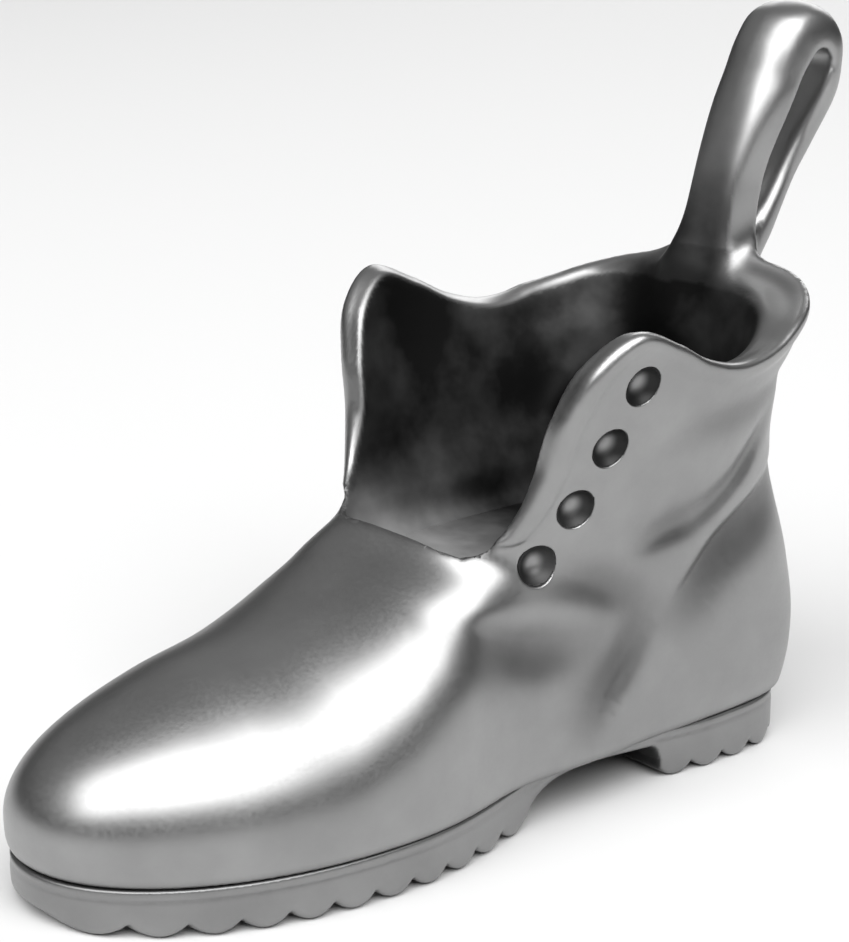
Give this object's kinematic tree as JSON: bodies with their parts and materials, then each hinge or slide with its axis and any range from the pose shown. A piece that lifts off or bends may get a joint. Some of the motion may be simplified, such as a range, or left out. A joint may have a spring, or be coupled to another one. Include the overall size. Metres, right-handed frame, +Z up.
{
  "type": "miniature cast-metal work boot playing piece",
  "caption": "Small hollow cast-metal lace-up work boot with eyelets, ribbed sole, stacked heel and a tall pull loop at the back.",
  "frame": {"origin": "bottom centre of the whole boot's box, on the plane that the tread rests on", "axes": "+Z up, toe towards -Y, pull loop towards +Y, +X to the wearer's left"},
  "size_m": [0.012, 0.0296, 0.0224],
  "materials": {
    "cast_upper": "satin die-cast metal, tumbled",
    "cast_hollow": "dull die-cast metal, dark with age",
    "cast_sole": "satin die-cast metal",
    "cast_eyelet": "satin die-cast metal, dark in the dimples"
  },
  "bodies": {
    "root": {"upper": "cast_upper", "insole": "cast_hollow", "pull_loop": "cast_upper", "welt": "cast_sole", "midsole": "cast_sole", "forefoot_outsole": "cast_sole", "heel_outsole": "cast_sole", "eyelet_left_1": "cast_eyelet", "eyelet_left_2": "cast_eyelet", "eyelet_left_3": "cast_eyelet", "eyelet_left_4": "cast_eyelet", "eyelet_right_1": "cast_eyelet", "eyelet_right_2": "cast_eyelet", "eyelet_right_3": "cast_eyelet", "eyelet_right_4": "cast_eyelet"}
  },
  "joints": []
}
